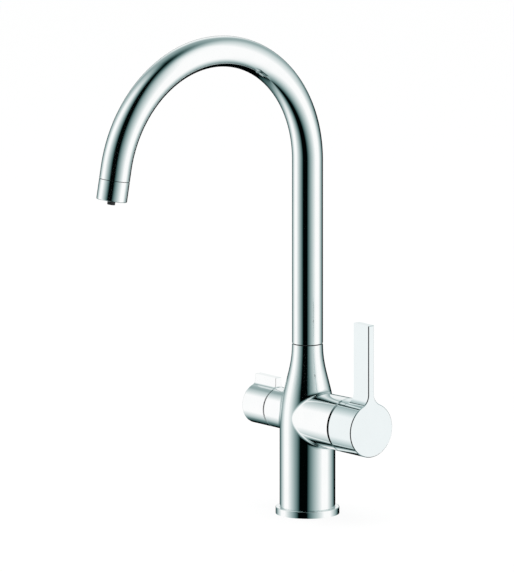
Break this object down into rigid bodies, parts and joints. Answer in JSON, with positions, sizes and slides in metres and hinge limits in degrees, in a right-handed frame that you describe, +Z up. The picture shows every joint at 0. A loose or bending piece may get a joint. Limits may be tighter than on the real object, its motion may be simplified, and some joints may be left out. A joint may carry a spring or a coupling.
{
  "type": "three-way mixer tap",
  "caption": "Deck tap with a swan-neck spout on a bottle-shaped body, a tall side lever for mixed water and a small lever for filtered water.",
  "frame": {"origin": "centre of the foot ring, on the deck", "axes": "+Z up along the body, -Y the way the spout reaches, +X towards the mixer lever"},
  "size_m": [0.1431, 0.2439, 0.4042],
  "materials": {
    "chrome_plate": "polished chrome plate on brass",
    "bare_brass": "machined brass",
    "black_rubber": "moulded rubber",
    "white_acetal": "moulded acetal",
    "alumina_disc": "lapped ceramic",
    "stainless": "turned stainless steel",
    "dark_plastic": "moulded dark plastic",
    "clear_hose": "extruded polyethylene"
  },
  "bodies": {
    "tap_body": {"body_casting": "chrome_plate", "foot_plug": "bare_brass", "base_flange": "chrome_plate", "base_gasket": "black_rubber", "cartridge_base": "white_acetal", "cartridge_port_seals": "black_rubber", "cartridge_housing": "white_acetal", "fixed_disc": "alumina_disc", "cartridge_nut": "bare_brass", "filter_headwork": "bare_brass", "filter_seat_seal": "black_rubber", "filter_fixed_disc": "alumina_disc"},
    "spout": {"spout_tube": "chrome_plate", "spout_shank": "bare_brass", "spout_o_ring_lower": "black_rubber", "spout_o_ring_upper": "black_rubber", "spout_snap_ring": "white_acetal", "spout_glide_ring": "white_acetal", "filter_hose": "clear_hose", "hose_plug": "bare_brass", "hose_plug_o_ring": "black_rubber", "outlet_bush": "bare_brass", "nozzle_collar": "chrome_plate", "aerator_washer": "black_rubber", "aerator_insert": "dark_plastic", "filter_tip": "dark_plastic"},
    "lever_turret": {"cartridge_turret": "white_acetal", "lever_pin": "stainless"},
    "sliding_disc": {"disc_carrier": "white_acetal", "moving_disc": "alumina_disc"},
    "mixer_lever": {"mixer_handle": "chrome_plate", "lever_stem": "stainless", "mixer_grub_screw": "stainless"},
    "filter_lever": {"filter_handle": "chrome_plate", "filter_spindle": "bare_brass", "filter_moving_disc": "alumina_disc", "spindle_o_ring": "black_rubber", "spindle_clip": "stainless", "filter_grub_screw": "stainless"}
  },
  "joints": [
    {"name": "spout_swivel", "type": "hinge", "parent": "tap_body", "child": "spout", "pos_m": [0, 0, 0.1393], "axis": [0, 0, 1], "range_deg": [-75, 75]},
    {"name": "mixer_temperature", "type": "hinge", "parent": "tap_body", "child": "lever_turret", "pos_m": [0.0377, 0, 0.0798], "axis": [1, 0, 0], "range_deg": [-45, 45]},
    {"name": "mixer_flow", "type": "hinge", "parent": "lever_turret", "child": "mixer_lever", "pos_m": [0.0377, 0, 0.0798], "axis": [0, 1, 0], "range_deg": [0, 20]},
    {"name": "disc_slide", "type": "slide", "parent": "lever_turret", "child": "sliding_disc", "axis": [0, 0, 1], "range_m": [0, 0.003]},
    {"name": "filter_turn", "type": "hinge", "parent": "tap_body", "child": "filter_lever", "pos_m": [-0.0364, 0, 0.0812], "axis": [1, 0, 0], "range_deg": [0, 90]}
  ],
  "couplings": [
    {"joint": "disc_slide", "follows": "mixer_flow", "m_per_rad": 0.0081}
  ]
}
